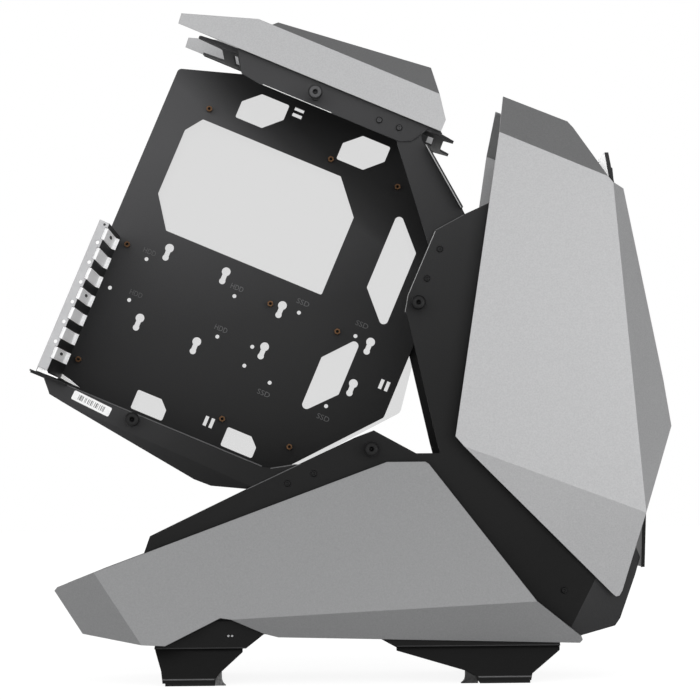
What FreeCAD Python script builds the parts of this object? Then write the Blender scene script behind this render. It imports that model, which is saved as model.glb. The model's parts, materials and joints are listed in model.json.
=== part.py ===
import FreeCAD, Part
import math
import os
import Sketcher
from FreeCAD import Placement, Rotation, Vector

# Sizes in millimetres and degrees. Near is the side with the open motherboard, toward -Y.
# The tray's own frame leans back by tray_tilt: u runs along the tray, v up it.
SIZES = {
    "plate_thick": 2.0,
    "sheet_thick": 1.5,
    "cover_thick": 1.0,
    "side_half": 60.0,
    "tray_inset": 15.0,
    "top_clear": 3.5,
    "wing_gap": 3.5,
    "tower_gap": 13.0,
    "base_gap": 3.5,
    "post_long": 8.0,
    "tray_x": -271.0,
    "tray_z": 313.5,
    "tray_tilt": 23.0,
    "tray_corner": 5.0,
    "tray_left": -22.0,
    "tray_right": 303.0,
    "tray_top": 330.0,
    "tray_foot": -28.5,
    "hem_start": 10.0,
    "hem_end": 205.0,
    "tab_foot": 135.0,
    "tab_top": 175.0,
    "opening_left": 8.0,
    "opening_right": 198.5,
    "opening_foot": 152.5,
    "opening_top": 270.5,
    "window_left": 49.5,
    "window_right": 95.5,
    "window_foot": 285.0,
    "window_top": 317.0,
    "window_corner": 2.0,
    "point_corner": 4.5,
    "window_pitch": 110.0,
    "lower_left": 66.0,
    "lower_right": 100.0,
    "lower_foot": -25.0,
    "lower_top": -5.0,
    "lower_pitch": 97.0,
    "diamond_left": 237.5,
    "diamond_right": 270.0,
    "slant_left": 222.5,
    "slant_right": 252.6,
    "tie_long": 10.0,
    "tie_wide": 3.5,
    "tie_pitch": 6.3,
    "key_head": 4.4,
    "key_neck": 2.5,
    "key_tail": 3.2,
    "key_drop": 10.2,
    "drive_hole": 2.0,
    "slit_start": 62.5,
    "slit_end": 137.5,
    "slit_drop": 5.0,
    "slit_tall": 1.0,
    "standoff_long": 6.5,
    "standoff_radius": 3.1,
    "standoff_bore": 1.5,
    "column_top_left": 22.86,
    "column_middle": 154.94,
    "column_right": 227.33,
    "row_middle": 124.46,
    "row_top": 281.94,
    "slot_pitch": 20.32,
    "slot_first": -3.9,
    "slot_tall": 8.5,
    "slot_wall_u": -11.0,
    "slot_stand": 7.0,
    "slot_near_rim": 12.0,
    "slot_far_rim": 40.0,
    "cover_wide": 11.5,
    "cover_tab": 10.0,
    "cover_long": 77.0,
    "cover_toe": 3.7,
    "clamp_foot": -22.0,
    "clamp_top": 128.8,
    "clamp_out": 8.3,
    "clamp_notch": 2.1,
    "clamp_clear": 0.3,
    "clamp_hole": 1.8,
    "clamp_hole_out": 2.0,
    "ledge_hole": 2.2,
    "floor_left": -24.9,
    "floor_right": 225.0,
    "tongue_right": 12.0,
    "tongue_reach": 9.5,
    "lip_slope": 0.3,
    "top_side_left": 35.0,
    "top_side_right": 236.0,
    "web_left": 52.0,
    "fork_left": -4.0,
    "fork_right": 262.0,
    "fork_inset": 7.0,
    "fork_wide": 6.0,
    "fork_root": 12.0,
    "fork_shoulder": 247.0,
    "fork_clear": 1.0,
    "cleft_left": 20.0,
    "cleft_right": 252.5,
    "cleft_corner": 5.0,
    "rear_slot_left": 32.0,
    "rear_slot_right": 36.5,
    "rear_slot_half": 26.0,
    "front_slot_left": 226.0,
    "front_slot_right": 242.5,
    "front_slot_half": 24.0,
    "cover_rise": 36.5,
    "cover_slope": 0.85,
    "spacer_radius": 4.5,
    "tower_top_slope": 0.85,
    "tower_front_slope": 0.9,
    "tower_foot_slope": 0.13,
    "base_lean": 0.14,
    "base_slope": 0.6,
    "tail_slope": 0.25,
    "strut_flange": 12.0,
    "strut_foot": 47.4,
    "rib_start": 6.0,
    "rib_end": 76.0,
    "panel_x": 276.1,
    "panel_z": 163.0,
    "panel_lean": 4.875,
    "panel_tall": 292.0,
    "panel_narrow": 2.0,
    "panel_flange": 15.0,
    "panel_flange_foot": 28.0,
    "panel_flange_clear": 12.0,
    "prong_root": 19.0,
    "prong_long": 29.7,
    "prong_back": 4.3,
    "prong_wide": 11.0,
    "apron_long": 55.9,
    "apron_back": 7.2,
    "apron_hem": 2.0,
    "fan_pitch": 120.0,
    "fan_radius": 57.0,
    "fan_screw": 2.2,
    "fan_square": 52.5,
    "bracket_x": -20.0,
    "bracket_top": 186.0,
    "bracket_flange": 12.0,
    "bracket_clear": 0.3,
    "supply_half": 40.0,
    "supply_foot": 54.0,
    "supply_rim": 8.0,
    "base_floor_z": 47.0,
    "base_floor_back": -188.0,
    "base_floor_front": 195.0,
    "base_edge_tall": 14.0,
    "vent_start": 24.0,
    "vent_pitch": 14.0,
    "vent_wide": 6.0,
    "vent_long": 80.0,
    "foot_flange_top": 60.0,
    "foot_shoulder": 34.0,
    "foot_step": 4.0,
    "foot_lip": 7.0,
    "foot_flare": 6.0,
    "pad_tall": 2.5,
    "rear_pad_back": -178.0,
    "rear_pad_front": -131.5,
    "front_pad_back": 117.0,
    "front_pad_front": 164.0,
    "pad_long": 46.0,
    "glass_thick": 4.0,
    "glass_corner": 8.0,
    "glass_left": -22.0,
    "glass_right": 303.0,
    "glass_top": 334.0,
    "glass_foot": -46.0,
    "post_radius": 4.5,
    "knob_radius": 7.0,
    "knob_long": 8.0,
    "knob_collar": 5.2,
    "knob_collar_long": 1.6,
    "screw_radius": 3.2,
    "screw_tall": 1.8,
    "foot_screw_radius": 1.3,
    "foot_screw_tall": 0.9,
}

# Corners of the outlines, in the upright frame ("xz") or in the tray's frame ("uv").
# A word in place of a number is a size from the table above; a pair is a size and a step from it.
CORNERS = {
    "tray_edge": ("uv", [("tray_left", 308.5), (46, "tray_top"), (232, "tray_top"), ("tray_right", 240),
                         ("tray_right", 63)]),
    "tray_opening": ("uv", [("opening_left", 184), ("opening_left", 253.5), (20.5, "opening_top"),
                            (170.5, "opening_top"), ("opening_right", 237),
                            ("opening_right", "opening_foot"), (30, "opening_foot")]),
    "tray_window": ("uv", [("window_left", "window_foot"), ("window_left", 302.5), (65.5, "window_top"),
                           ("window_right", "window_top"), ("window_right", 301), (78.5, "window_foot")]),
    "tray_diamond": ("uv", [("diamond_left", 177), ("diamond_left", 262.5), ("diamond_right", 227.8),
                            ("diamond_right", 142)]),
    "tray_slant": ("uv", [("slant_left", 95), ("slant_right", 130), ("slant_right", 67), ("slant_left", 34)]),
    "tray_lower": ("uv", [("lower_left", "lower_foot"), ("lower_left", "lower_top"), (91.5, "lower_top"),
                          ("lower_right", -13.5), ("lower_right", "lower_foot")]),
    "tray_tie": ("uv", [(106.5, 310), (140.5, -8), (288, 93)]),
    "tray_key": ("uv", [(40, 137.5), (101.5, 137.5), (166.5, 127.8), (40, 61.5), (101.5, 61.5),
                        (166, 82.8), (262, 127.8), (262, 82.8)]),
    "tray_hole": ("uv", [(23, 118.5), (0.5, 78), (23, 74), (118.5, 118), (118.5, 74),
                         (184.5, 127.5), (184.5, 51.5), (245.5, 51.5), (154.6, 78), (154.6, 57.5),
                         (245.7, 127.5)]),
    "floor_side": ("uv", [(-11, "tray_foot"), (0, -42), (20, -45), (215, -49.5), (245, -48), (272, -16),
                          (262, -6)]),
    "floor_lip": ("uv", [(157.5, -64), (174.5, -63.5), (206.5, -53.5)]),
    "top_side": ("uv", [("top_side_left", ("tray_top", 20)), ("top_side_left", ("tray_top", 5)),
                        (48.5, ("tray_top", -17.5)),
                        (66, ("tray_top", -20)), (214, ("tray_top", -20)), (224.5, ("tray_top", -15)),
                        ("top_side_right", ("tray_top", 4)), ("top_side_right", ("tray_top", 20))]),
    "far_side": ("uv", [("top_side_left", ("tray_top", 20)), ("top_side_left", ("tray_top", 5)),
                        (46, ("tray_top", -11.5)), (114, ("tray_top", -11.5)),
                        (116.5, ("tray_top", -17.5)), (128.5, ("tray_top", -17.5)),
                        (131, ("tray_top", -11.5)), (223, ("tray_top", -11.5)),
                        ("top_side_right", ("tray_top", 4)), ("top_side_right", ("tray_top", 20))]),
    "cover_wing": ("uv", [(-26.5, ("tray_top", 13)), (-25.5, ("tray_top", 3)), (247, ("tray_top", 3.5)),
                          (247, ("tray_top", 15.5)), (232, ("tray_top", "cover_rise")),
                          (58, ("tray_top", "cover_rise")), (44, ("tray_top", "cover_rise"))]),
    "cover_ridge": ("uv", [(62, ("tray_top", 42)), (214, ("tray_top", 63))]),
    "cover_spacer": ("uv", [(62, ("tray_top", 12)), (200, ("tray_top", 12))]),
    "glass_edge": ("uv", [("glass_left", 312), (46, "glass_top"), (235, "glass_top"), ("glass_right", 245),
                          ("glass_right", 172), (317, 75), (215.5, "glass_foot"), (-5, "glass_foot"),
                          ("glass_left", -28)]),
    "knob": ("uv", [(122.5, ("tray_top", -11)), (289.5, 171.5), (301.5, 26.5), (83, -34)]),
    "top_screw": ("uv", [(188, ("tray_top", -8.5)), (208.5, ("tray_top", -8))]),
    "strut_head": ("uv", [(182, ("tray_top", -3)), (182, ("tray_top", -11)),
                          (206.5, ("tray_top", -11.5)), (212.5, ("tray_top", -22.5)),
                          (233.9, ("tray_top", -11)),
                          (229, ("tray_top", -3))]),
    "strut_fold": ("xz", [(73.5, 414)]),
    "strut_toe": ("xz", [(118, 402), (84, 372), (64, 372)]),
    "side_main": ("xz", [(250, 487), (224, 498), (130, 453.5), (107, 443), (80, 428.5), (75.5, 419),
                         (53, 366.5), (50, 350), (52.5, 346), (79, 228), (82, 216), (59.5, 216),
                         (19.5, 238), (2, 231.5), (-101.5, 183.5), (-192.5, 140), (-198, 124.5),
                         (-206, 90), (-195, "base_floor_z"), (198, "base_floor_z")]),
    "side_fold": ("xz", [(204, 50.5), (275.5, 188)]),
    "side_tail": ("xz", [(206, 41), (247, 51.5), (252, 58.5), (266.5, 99), (271.5, 116), (267.5, 125.5),
                         (271, 178)]),
    "side_screw": ("xz", [(84, 410), (71.5, 382), (-37.5, 197.5), (-62.5, 188.5), (198, 85.5)]),
    "foot_screw": ("xz", [(-119, 46), (-115.5, 46)]),
    "tower_main": ("xz", [(141, 520), (96, 231.5), (104, 222), (274.7, 158.4), (248.5, 471.5),
                          (244, 477)]),
    "tower_top": ("xz", [(215, 529), (210, 535.5), (148, 560)]),
    "tower_prow": ("xz", [(305.5, 240.5), (298, 284.5), (259.5, 466.5)]),
    "tower_foot": ("xz", [(243.5, 82), (246.5, 79.6), (249.6, 80.2), (252.4, 85)]),
    "tower_spacer": ("xz", [(160, 445), (225, 462), (118, 250), (235, 190)]),
    "base_main": ("xz", [(-245, 106.5), (-199.5, 39), (-177.5, 38), (-126, 63.5), (-116, 62),
                         (169.5, 77), (71, 206), (67.5, 208), (31.5, 208)]),
    "base_back": ("xz", [(-282, 92), (-285, 88.5), (-257.5, 48)]),
    "base_foot": ("xz", [(-85, 48), (-72, 44.5), (211.5, 36.6), (214, 39.5), (212.5, 43)]),
    "base_spacer": ("xz", [(-150, 110), (-60, 125), (40, 180), (110, 100)]),
    "rear_foot": ("xz", [(-180, "foot_flange_top"), (-69, "foot_flange_top"), (-188.5, "foot_shoulder"),
                         (-102.5, "foot_shoulder"), (-188.2, "foot_shoulder"), (-105.7, "foot_shoulder"),
                         (-187.4, ("foot_shoulder", -3)), (-105.7, ("foot_shoulder", -3)), (-182, 14),
                         (-126.5, 12.5), (-181, "foot_lip"), (-131, "foot_lip"), (-180.5, "pad_tall"),
                         (-131.5, "pad_tall")]),
    "front_foot": ("xz", [(-9, "foot_flange_top"), (190, "foot_flange_top"), (38.4, "foot_shoulder"),
                          (193.4, "foot_shoulder"), (38.9, "foot_shoulder"), (193.2, "foot_shoulder"),
                          (39.2, ("foot_shoulder", -3)), (193, ("foot_shoulder", -4)), (104.5, 12),
                          (166.2, 9), (113, "foot_lip"), (165.8, "foot_lip"), (115, "pad_tall"),
                          (165, "pad_tall")]),
}


class Size:
    """A number with the sheet expression it comes from, so one sum gives both."""

    def __init__(self, number, text):
        self.number = number
        self.text = text

    def __add__(self, other):
        other = as_size(other)
        return Size(self.number + other.number, f"({self.text} + {other.text})")

    def __sub__(self, other):
        other = as_size(other)
        return Size(self.number - other.number, f"({self.text} - {other.text})")

    def __mul__(self, other):
        other = as_size(other)
        return Size(self.number * other.number, f"({self.text} * {other.text})")

    def __neg__(self):
        return Size(-self.number, f"(0 - {self.text})")


def as_size(value):
    if isinstance(value, Size):
        return value
    return Size(float(value), f"({float(value)})")


doc = FreeCAD.newDocument("computer_case")
sheet = doc.addObject("Spreadsheet::Sheet", "Sheet")
row_number = 0


def add_cell(alias, value):
    global row_number
    row_number += 1
    sheet.set(f"A{row_number}", alias.replace("_", " "))
    sheet.set(f"B{row_number}", str(value))
    sheet.setAlias(f"B{row_number}", alias)


for alias, value in SIZES.items():
    add_cell(alias, value)
for name, (axes, pairs) in CORNERS.items():
    for index, pair in enumerate(pairs, start=1):
        for axis, value in zip(axes, pair):
            last = value[-1] if isinstance(value, tuple) else value
            if not isinstance(last, str):
                add_cell(f"{name}_{axis}_{index}", last)
doc.recompute()


def size(alias):
    return Size(float(sheet.get(alias)), f"Sheet.{alias}")


def corners(name):
    axes, pairs = CORNERS[name]
    found = []
    for index, pair in enumerate(pairs, start=1):
        point = []
        for axis, value in zip(axes, pair):
            words = value if isinstance(value, tuple) else (value,)
            steps = [size(word if isinstance(word, str) else f"{name}_{axis}_{index}") for word in words]
            point.append(sum(steps[1:], steps[0]))
        found.append(tuple(point))
    return found


def shifted(outline, along, up=0.0):
    return [(a + along, b + up) for a, b in outline]


def box(left, right, low, high):
    return [(left, low), (right, low), (right, high), (left, high)]


def hexagon(a, b, radius):
    """Six corners at a radius from a centre, the first one to the right."""
    half, high = radius * 0.5, radius * 0.8660254
    return [(a + radius, b), (a + half, b + high), (a - half, b + high),
            (a - radius, b), (a - half, b - high), (a + half, b - high)]


plate = size("plate_thick")
thin = size("sheet_thick")
side_half = size("side_half")
tray_depth = side_half - size("tray_inset")
top_half = tray_depth + thin + size("top_clear")
wing_half = top_half + plate + size("wing_gap") + thin
tower_half = side_half + plate + size("tower_gap") + thin
base_half = side_half + plate + size("base_gap") + thin
post_half = side_half + plate + size("post_long")
tilt = size("tray_tilt")
tilt_cos = Size(math.cos(math.radians(tilt.number)), f"cos({tilt.text} * 1deg)")
tilt_sin = Size(math.sin(math.radians(tilt.number)), f"sin({tilt.text} * 1deg)")


def upright(point):
    """A corner of the tray's frame, seen in the upright frame."""
    u, v = point
    x = size("tray_x") + u * tilt_cos + v * tilt_sin
    z = size("tray_z") - u * tilt_sin + v * tilt_cos
    return x, z


def lean_on_tray(thing):
    base = Vector(size("tray_x").number, 0, size("tray_z").number)
    thing.Placement = Placement(base, Rotation(Vector(0, 1, 0), tilt.number))
    thing.setExpression("Placement.Base.x", "Sheet.tray_x * 1mm")
    thing.setExpression("Placement.Base.z", "Sheet.tray_z * 1mm")
    thing.setExpression("Placement.Rotation.Angle", "Sheet.tray_tilt * 1deg")


def new_body(label):
    body = doc.addObject("PartDesign::Body", label)
    body.Label = label
    body.AllowCompound = True
    return body


def new_sketch(body, role, at):
    """A sketch square to one axis, at a distance along that axis."""
    plane = next(item for item in body.Origin.OriginFeatures if item.Role == role)
    sketch = body.newObject("Sketcher::SketchObject", f"{body.Name}_sketch")
    sketch.AttachmentSupport = [(plane, "")]
    sketch.MapMode = "FlatFace"
    offset = -at if role == "XZ_Plane" else at
    sketch.AttachmentOffset = Placement(Vector(0, 0, offset.number), Rotation())
    sketch.setExpression("AttachmentOffset.Base.z", f"{offset.text} * 1mm")
    return sketch


def draw(sketch, outlines, circles):
    shapes = []
    rules = []
    ties = []

    def tie(rule, bound):
        ties.append((len(rules), bound.text))
        rules.append(rule)

    def tie_point(number, place, point):
        for kind, bound in zip(("DistanceX", "DistanceY"), point):
            tie(Sketcher.Constraint(kind, -1, 1, number, place, bound.number), bound)

    for outline in outlines:
        first = len(shapes)
        spots = [Vector(a.number, b.number, 0) for a, b in outline]
        for start, end in zip(spots, spots[1:] + spots[:1]):
            shapes.append(Part.LineSegment(start, end))
        for index in range(len(spots)):
            after = first + (index + 1) % len(spots)
            rules.append(Sketcher.Constraint("Coincident", first + index, 2, after, 1))
        for index, point in enumerate(outline):
            tie_point(first + index, 1, point)
    for a, b, radius in circles:
        number = len(shapes)
        shapes.append(Part.Circle(Vector(a.number, b.number, 0), Vector(0, 0, 1), radius.number))
        tie_point(number, 3, (a, b))
        tie(Sketcher.Constraint("Radius", number, radius.number), radius)
    sketch.addGeometry(shapes, False)
    sketch.addConstraint(rules)
    for index, text in ties:
        sketch.setExpression(f"Constraints[{index}]", text)


def pad(body, role, at, depth, outlines=(), circles=()):
    """Material from a plane toward the plane's positive axis."""
    sketch = new_sketch(body, role, as_size(at))
    draw(sketch, outlines, circles)
    feature = body.newObject("PartDesign::Pad", f"{body.Name}_pad")
    feature.Profile = sketch
    feature.Reversed = role == "XZ_Plane"
    depth = as_size(depth)
    feature.Length = depth.number
    feature.setExpression("Length", f"{depth.text} * 1mm")
    return feature


def pocket(body, role, at, depth, outlines=(), circles=()):
    """A cut from a plane toward the plane's positive axis."""
    sketch = new_sketch(body, role, as_size(at))
    draw(sketch, outlines, circles)
    feature = body.newObject("PartDesign::Pocket", f"{body.Name}_cut")
    feature.Profile = sketch
    feature.Reversed = role != "XZ_Plane"
    depth = as_size(depth)
    feature.Length = depth.number
    feature.setExpression("Length", f"{depth.text} * 1mm")
    return feature


def round_corners(body, feature, role, points, radius):
    """Round the upright edges that stand on the given corners of a flat plate."""
    doc.recompute()
    picked = []
    for number, edge in enumerate(feature.Shape.Edges, start=1):
        start, end = edge.Vertexes[0].Point, edge.Vertexes[-1].Point
        if role == "XZ_Plane":
            flat = [(start.x, start.z), (end.x, end.z)]
        else:
            flat = [(start.x, start.y), (end.x, end.y)]
        for a, b in points:
            if all(math.dist(spot, (a.number, b.number)) < 0.01 for spot in flat):
                picked.append(f"Edge{number}")
    fillet = body.newObject("PartDesign::Fillet", f"{body.Name}_round")
    fillet.Base = (feature, picked)
    fillet.Radius = radius.number
    fillet.setExpression("Radius", f"{radius.text} * 1mm")
    return fillet


def folded_sheet(label, places, facets, thickness):
    """A sheet folded along straight lines: outer corners, facets that share them, one thickness.

    Each inner corner lies one thickness behind every facet that meets there.
    """
    normals = []
    for facet in facets:
        total = Vector()
        ring = [places[name] for name in facet]
        for start, end in zip(ring, ring[1:] + ring[:1]):
            total += start.cross(end)
        normals.append(total.normalize())
    inner = {}
    for name, place in places.items():
        around = []
        for facet, normal in zip(facets, normals):
            if name in facet and all(normal.dot(other) < 0.9999 for other in around):
                around.append(normal)
        if len(around) == 1:
            step = around[0] * -thickness
        elif len(around) == 2:
            cosine = around[0].dot(around[1])
            step = (around[0] + around[1]) * (-thickness / (1 + cosine))
        else:
            one, two, three = around[:3]
            crosses = two.cross(three) + three.cross(one) + one.cross(two)
            step = crosses * (-thickness / one.dot(two.cross(three)))
        inner[name] = place + step
    edges = {}
    faces = []
    for facet in facets:
        faces.append(flat_face([places[name] for name in facet]))
        faces.append(flat_face([inner[name] for name in facet]))
        for start, end in zip(facet, facet[1:] + facet[:1]):
            if (end, start) in edges:
                del edges[(end, start)]
            else:
                edges[(start, end)] = True
    for start, end in edges:
        ring = [places[start], places[end], inner[end], inner[start]]
        normal = (ring[1] - ring[0]).cross(ring[2] - ring[0])
        if abs(normal.normalize().dot(ring[3] - ring[0])) < 1e-5:
            faces.append(flat_face(ring))
        else:
            faces.append(flat_face(ring[:3]))
            faces.append(flat_face([ring[0], ring[2], ring[3]]))
    solid = Part.Solid(Part.makeShell(faces))
    if solid.Volume < 0:
        solid.reverse()
    feature = doc.addObject("Part::Feature", label)
    feature.Label = label
    feature.Shape = solid
    return feature


def flat_face(ring):
    return Part.Face(Part.makePolygon(ring + ring[:1]))


def lean_from(point, start, end, slope):
    """A corner of a bent facet: inward by the slope for each millimetre from the fold."""
    x, z = point
    along_x, along_z = end.x - start.x, end.z - start.z
    length = math.hypot(along_x, along_z)
    along = ((x - start.x) * along_x + (z - start.z) * along_z) / length
    away = abs((x - start.x) * along_z - (z - start.z) * along_x) / length
    depth = start.y + (end.y - start.y) * along / length + slope * away
    return Vector(x, depth, z)


def numbers(name):
    return [(a.number, b.number) for a, b in corners(name)]


def mirrored(label, source):
    twin = doc.addObject("Part::Mirroring", label)
    twin.Label = label
    twin.Source = source
    twin.Base = Vector(0, 0, 0)
    twin.Normal = Vector(0, 1, 0)
    return twin


pieces = []

# Motherboard tray: one sheet with windows, keyholes, a hem below and a tab at the right edge.
tray = new_body("motherboard_tray")
pieces.append(tray)
tray_foot = size("tray_foot")
tray_top = size("tray_top")
tray_edge = corners("tray_edge")
floor_right = size("floor_right")
tray_outline = [(size("tray_left"), tray_foot)] + tray_edge + [(floor_right, tray_foot)]
sheet_pad = pad(tray, "XZ_Plane", tray_depth, thin, [tray_outline])
round_corners(tray, sheet_pad, "XZ_Plane", tray_edge[:1] + tray_edge[3:], size("tray_corner"))
window = corners("tray_window")
lower_window = corners("tray_lower")
openings = [corners("tray_opening"), window, shifted(window, size("window_pitch")), corners("tray_diamond"),
            corners("tray_slant"), lower_window, shifted(lower_window, size("lower_pitch"))]
windows_cut = pocket(tray, "XZ_Plane", tray_depth, thin, openings)
diamond, slant = openings[3], openings[4]
points = [diamond[1], diamond[3], slant[1], slant[3]]
window_corners = [point for outline in openings for point in outline if point not in points]
rounded = round_corners(tray, windows_cut, "XZ_Plane", window_corners, size("window_corner"))
round_corners(tray, rounded, "XZ_Plane", points, size("point_corner"))
half_long = size("tie_long") * 0.5
half_wide = size("tie_wide") * 0.5
ties_drawn = []
for index, (u, v) in enumerate(corners("tray_tie")):
    for turn in (0, 1):
        step = size("tie_pitch") * turn
        if index == 0:
            ties_drawn.append(box(u - half_long, u + half_long, v + step - half_wide, v + step + half_wide))
        else:
            ties_drawn.append(box(u + step - half_wide, u + step + half_wide, v - half_long, v + half_long))
slit_foot = tray_top - size("slit_drop")
ties_drawn.append(box(size("slit_start"), size("slit_end"), slit_foot, slit_foot + size("slit_tall")))
pocket(tray, "XZ_Plane", tray_depth, thin, ties_drawn)
key_head, key_tail, key_drop = size("key_head"), size("key_tail"), size("key_drop")
keys = corners("tray_key")
heads = [(u, v, key_head) for u, v in keys]
heads += [(u, v, size("drive_hole")) for u, v in corners("tray_hole")]
pocket(tray, "XZ_Plane", tray_depth, thin, (), heads)
key_neck = size("key_neck")
necks = [box(u - key_neck, u + key_neck, v - key_drop, v) for u, v in keys]
pocket(tray, "XZ_Plane", tray_depth, thin, necks)
pocket(tray, "XZ_Plane", tray_depth, thin, (), [(u, v - key_drop, key_tail) for u, v in keys])
hem = box(size("hem_start"), size("hem_end"), tray_depth + thin, side_half - thin)
pad(tray, "XY_Plane", tray_foot, thin, [hem])
tab = box(tray_depth + thin, side_half, size("tab_foot"), size("tab_top"))
pad(tray, "YZ_Plane", size("tray_right") - thin, thin, [tab])
lean_on_tray(tray)

# Standoffs: nine on the motherboard hole pattern.
standoffs = new_body("motherboard_standoffs")
pieces.append(standoffs)
zero = as_size(0)
column_middle, column_right = size("column_middle"), size("column_right")
row_middle, row_top = size("row_middle"), size("row_top")
holes = [(size("column_top_left"), row_top), (column_middle, row_top), (column_right, row_top)]
holes += [(column, row) for row in (row_middle, zero) for column in (zero, column_middle, column_right)]
standoff_long = size("standoff_long")
standoff_near = tray_depth - standoff_long
standoff_radius = size("standoff_radius")
pad(standoffs, "XZ_Plane", standoff_near, standoff_long, [hexagon(u, v, standoff_radius) for u, v in holes])
pocket(standoffs, "XZ_Plane", standoff_near, standoff_long, (),
       [(u, v, size("standoff_bore")) for u, v in holes])
lean_on_tray(standoffs)

# Slot frame: a wall with seven slots, an outer ledge along its near edge and a tongue on the floor.
slot_frame = new_body("slot_frame")
pieces.append(slot_frame)
wall_u = size("slot_wall_u")
slot_near = -(side_half + size("slot_stand"))
wall_top = size("clamp_top")
slot_pitch = size("slot_pitch")
slot_rows = [size("slot_first") + slot_pitch * index for index in range(7)]
floor_left = size("floor_left")
pad(slot_frame, "YZ_Plane", wall_u, thin, [box(slot_near, tray_depth, tray_foot, wall_top)])
pad(slot_frame, "XZ_Plane", slot_near, thin, [box(wall_u - size("clamp_out"), wall_u, tray_foot, wall_top)])
tongue = box(floor_left, size("tongue_right"), -(side_half + size("tongue_reach")), tray_depth)
pad(slot_frame, "XY_Plane", tray_foot, thin, [tongue])
half_slot = size("slot_tall") * 0.5
pocket(slot_frame, "YZ_Plane", wall_u, thin,
       [box(slot_near + size("slot_near_rim"), tray_depth - size("slot_far_rim"), row - half_slot,
            row + half_slot) for row in slot_rows])
clamp_u = wall_u - size("clamp_hole_out")
clamp_rows = [row + slot_pitch * 0.5 for row in slot_rows[:6]]
pocket(slot_frame, "XZ_Plane", slot_near, thin, (),
       [(clamp_u, row, size("ledge_hole")) for row in clamp_rows])
lean_on_tray(slot_frame)

# Slot covers: strips inside the wall, with tabs bent out over the ledge and toes bent in at the far end.
slot_covers = new_body("slot_covers")
pieces.append(slot_covers)
cover_thick = size("cover_thick")
half_cover = size("cover_wide") * 0.5
inside_u = wall_u + thin
pad(slot_covers, "YZ_Plane", inside_u, cover_thick,
    [box(slot_near, slot_near + size("cover_long"), row - half_cover, row + half_cover) for row in slot_rows])
pad(slot_covers, "XZ_Plane", slot_near - cover_thick, cover_thick,
    [box(inside_u - size("cover_tab"), inside_u + cover_thick, row - half_cover, row + half_cover)
     for row in slot_rows])
toe_end = inside_u + cover_thick + size("cover_toe")
pad(slot_covers, "XZ_Plane", slot_near + size("cover_long") - cover_thick, cover_thick,
    [box(inside_u, toe_end, row - half_cover, row + half_cover) for row in slot_rows])
lean_on_tray(slot_covers)

# Clamp bar: holds the tabs down on the ledge, with a notch at each cover and a hole between covers.
clamp = new_body("slot_clamp_bar")
pieces.append(clamp)
clamp_near = slot_near - cover_thick - thin
pad(clamp, "XZ_Plane", clamp_near, thin,
    [box(wall_u - size("clamp_out"), inside_u, size("clamp_foot"), size("clamp_top"))])
half_notch = half_cover + size("clamp_clear")
notch_u = inside_u - size("clamp_notch")
pocket(clamp, "XZ_Plane", clamp_near, thin,
       [box(notch_u, inside_u, row - half_notch, row + half_notch) for row in slot_rows],
       [(clamp_u, row, size("clamp_hole")) for row in clamp_rows])
lean_on_tray(clamp)


def upright_place(name, index, depth):
    a, b = numbers(name)[index]
    return Vector(a, depth, b)


# Tray floor: a folded channel whose sides bolt to the side plates and have a bent-back lip.
half = side_half.number
foot_level = tray_foot.number
places = {"web_back": Vector(floor_left.number, -half, foot_level)}
for index, (u, v) in enumerate(numbers("floor_side")):
    places[f"side{index}"] = Vector(u, -half, v)
places["web_front"] = Vector(floor_right.number, -half, foot_level)
lip_slope = size("lip_slope").number
for index, point in enumerate(numbers("floor_lip")):
    places[f"lip{index}"] = lean_from(point, places["side2"], places["side3"], lip_slope)
near_names = list(places)
for name in near_names:
    places[f"far_{name}"] = Vector(places[name].x, -places[name].y, places[name].z)
floor_facets = [["web_back", "side0", "web_front", "far_web_front", "far_side0", "far_web_back"]]
side_ring = ["side0", "side1", "side2", "side3", "side4", "side5", "side6", "web_front"]
lip_ring = ["side2", "lip0", "lip1", "lip2", "side3"]
for ring in (side_ring, lip_ring):
    floor_facets.append(ring)
    floor_facets.append([f"far_{name}" for name in reversed(ring)])
tray_floor = folded_sheet("tray_floor", places, floor_facets, thin.number)
pieces.append(tray_floor)
lean_on_tray(tray_floor)

# Top frame: two side plates joined by a web with forked ends.
top_frame = new_body("top_frame")
pieces.append(top_frame)
web_left = size("web_left")
fork_half = top_half - size("fork_inset")
fork_inner = fork_half - size("fork_wide")
cleft_half = fork_half - size("fork_root")
fork_left, fork_right = size("fork_left"), size("fork_right")
cleft_left, cleft_right = size("cleft_left"), size("cleft_right")
shoulder_half = wing_half - thin - size("fork_clear")
near_run = [(fork_left, -fork_half), (web_left, -fork_half), (web_left, -top_half),
            (size("top_side_right"), -top_half), (size("fork_shoulder"), -shoulder_half),
            (fork_right, -fork_half), (fork_right, -fork_inner), (cleft_right, -cleft_half)]
far_run = [(a, -b) for a, b in reversed(near_run)]
left_cleft = [(fork_left, fork_inner), (cleft_left, cleft_half), (cleft_left, -cleft_half),
              (fork_left, -fork_inner)]
web_pad = pad(top_frame, "XY_Plane", tray_top, plate, [near_run + far_run + left_cleft])
cleft_points = [near_run[-1], far_run[0], left_cleft[1], left_cleft[2]]
round_corners(top_frame, web_pad, "XY_Plane", cleft_points, size("cleft_corner"))
web_slots = []
for end in ("rear", "front"):
    slot_half = size(f"{end}_slot_half")
    web_slots.append(box(size(f"{end}_slot_left"), size(f"{end}_slot_right"), -slot_half, slot_half))
pocket(top_frame, "XY_Plane", tray_top, plate, web_slots)
pad(top_frame, "XZ_Plane", -(top_half + plate), plate, [corners("top_side")])
pad(top_frame, "XZ_Plane", top_half, plate, [corners("far_side")])
lean_on_tray(top_frame)

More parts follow.
